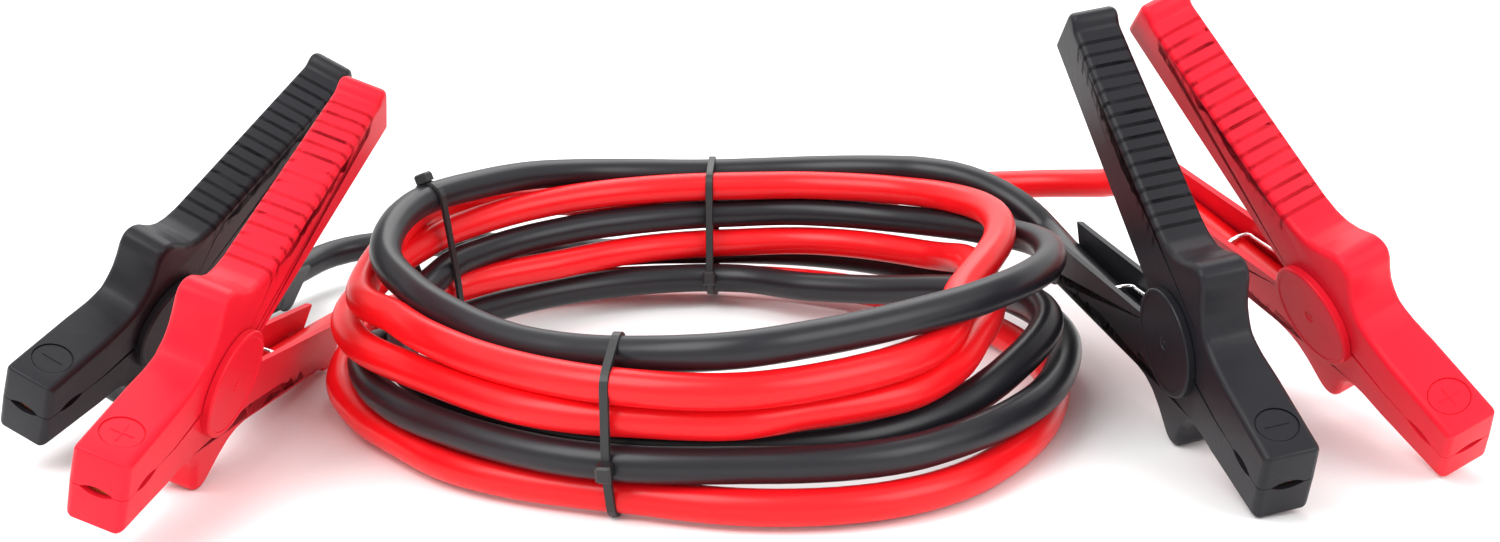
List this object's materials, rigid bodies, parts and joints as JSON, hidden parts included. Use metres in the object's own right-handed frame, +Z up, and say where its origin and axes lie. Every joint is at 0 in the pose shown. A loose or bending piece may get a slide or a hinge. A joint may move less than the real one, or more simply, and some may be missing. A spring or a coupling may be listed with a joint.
{
  "type": "car jumper cable set",
  "caption": "Red and black battery booster cables wound into one tied coil, with a spring clamp on every end.",
  "frame": {"origin": "on the floor, at the middle of the four clamps' footprint", "axes": "+X to the right along the row of clamps and the coil, +Y away from the jaws, +Z up"},
  "size_m": [0.542, 0.3307, 0.1632],
  "materials": {
    "red_plastic": "bright red moulded plastic, satin gloss",
    "black_plastic": "black moulded plastic, low sheen",
    "red_sheath": "smooth red soft PVC sheath",
    "black_sheath": "smooth black soft PVC sheath",
    "nickel_steel": "bright nickel-plated spring steel",
    "copper": "copper-plated toothed contact",
    "tie_nylon": "black nylon"
  },
  "bodies": {
    "cable_set": {"left_black_lower_lever": "black_plastic", "left_black_lower_contact": "copper", "left_black_pivot_pin": "nickel_steel", "left_black_torsion_spring": "nickel_steel", "left_black_cable_lead": "black_sheath", "left_red_lower_lever": "red_plastic", "left_red_lower_contact": "copper", "left_red_pivot_pin": "nickel_steel", "left_red_torsion_spring": "nickel_steel", "left_red_cable_lead": "red_sheath", "right_black_lower_lever": "black_plastic", "right_black_lower_contact": "copper", "right_black_pivot_pin": "nickel_steel", "right_black_torsion_spring": "nickel_steel", "right_black_cable_lead": "black_sheath", "right_red_lower_lever": "red_plastic", "right_red_lower_contact": "copper", "right_red_pivot_pin": "nickel_steel", "right_red_torsion_spring": "nickel_steel", "right_red_cable_lead": "red_sheath", "red_coil_band_1": "red_sheath", "black_coil_band_2": "black_sheath", "red_coil_band_3": "red_sheath", "black_coil_band_4": "black_sheath", "front_cable_tie": "tie_nylon", "back_cable_tie": "tie_nylon", "left_cable_tie": "tie_nylon"},
    "left_black_handle": {"left_black_upper_lever": "black_plastic", "left_black_upper_contact": "copper"},
    "left_red_handle": {"left_red_upper_lever": "red_plastic", "left_red_upper_contact": "copper"},
    "right_black_handle": {"right_black_upper_lever": "black_plastic", "right_black_upper_contact": "copper"},
    "right_red_handle": {"right_red_upper_lever": "red_plastic", "right_red_upper_contact": "copper"}
  },
  "joints": [
    {"name": "left_black_jaw", "type": "hinge", "parent": "cable_set", "child": "left_black_handle", "pos_m": [-0.23114, 0.01226, 0.04407], "axis": [-0.863, 0.2447, 0.442], "range_deg": [0, 30], "stiffness_Nm_per_rad": 2.4, "springref_deg": -41.83, "deforming": ["left_black_torsion_spring"]},
    {"name": "left_red_jaw", "type": "hinge", "parent": "cable_set", "child": "left_red_handle", "pos_m": [-0.18584, -0.06654, 0.04527], "axis": [-0.9239, 0.1536, 0.3505], "range_deg": [0, 30], "stiffness_Nm_per_rad": 2.4, "springref_deg": -41.83, "deforming": ["left_red_torsion_spring"]},
    {"name": "right_black_jaw", "type": "hinge", "parent": "cable_set", "child": "right_black_handle", "pos_m": [0.17156, -0.05494, 0.04559], "axis": [-0.9723, -0.1948, -0.1294], "range_deg": [0, 30], "stiffness_Nm_per_rad": 2.4, "springref_deg": -41.83, "deforming": ["right_black_torsion_spring"]},
    {"name": "right_red_jaw", "type": "hinge", "parent": "cable_set", "child": "right_red_handle", "pos_m": [0.22916, -0.03564, 0.05124], "axis": [-0.8874, -0.2354, -0.3965], "range_deg": [0, 30], "stiffness_Nm_per_rad": 2.4, "springref_deg": -41.83, "deforming": ["right_red_torsion_spring"]}
  ]
}
